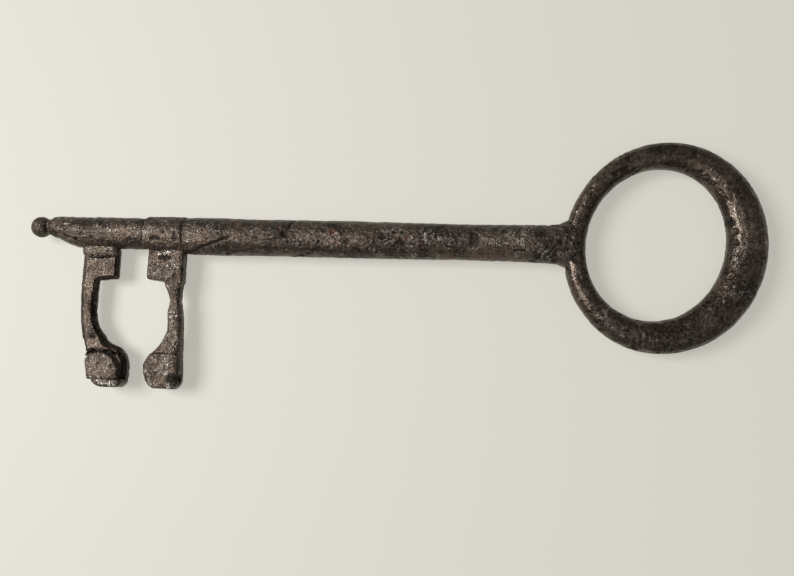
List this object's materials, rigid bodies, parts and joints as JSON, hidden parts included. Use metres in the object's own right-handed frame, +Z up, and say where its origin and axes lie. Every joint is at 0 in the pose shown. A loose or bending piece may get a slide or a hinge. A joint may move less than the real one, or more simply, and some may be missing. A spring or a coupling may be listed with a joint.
{
  "type": "door key",
  "caption": "Hand-forged iron door key with an oval ring bow, a round shank, a collared pin with a ball tip, and a bit of separate legs with thick feet.",
  "frame": {"origin": "under the middle of the key's bounding box, on the surface it lies on", "axes": "+X along the shank from the ball tip to the bow, +Y across the key away from the bit, +Z up from the surface, square to the flat of the bow and the bit"},
  "size_m": [0.14, 0.049, 0.007],
  "materials": {
    "pin_iron": "worn dark forged iron",
    "collar_iron": "worn dark forged iron",
    "shank_iron": "worn dark forged iron, pitted, with rust in the pits",
    "bow_iron": "dark forged iron, polished by handling",
    "bit_iron": "worn dark forged iron, pitted"
  },
  "bodies": {
    "root": {"tip_knob": "pin_iron", "front_pin": "pin_iron", "root_lap": "pin_iron", "bit_collar": "collar_iron", "shank": "shank_iron", "bow_ring": "bow_iron", "front_leg": "bit_iron", "front_foot": "bit_iron", "front_foot_sole": "bit_iron", "rear_leg": "bit_iron", "rear_foot": "bit_iron"}
  },
  "joints": []
}
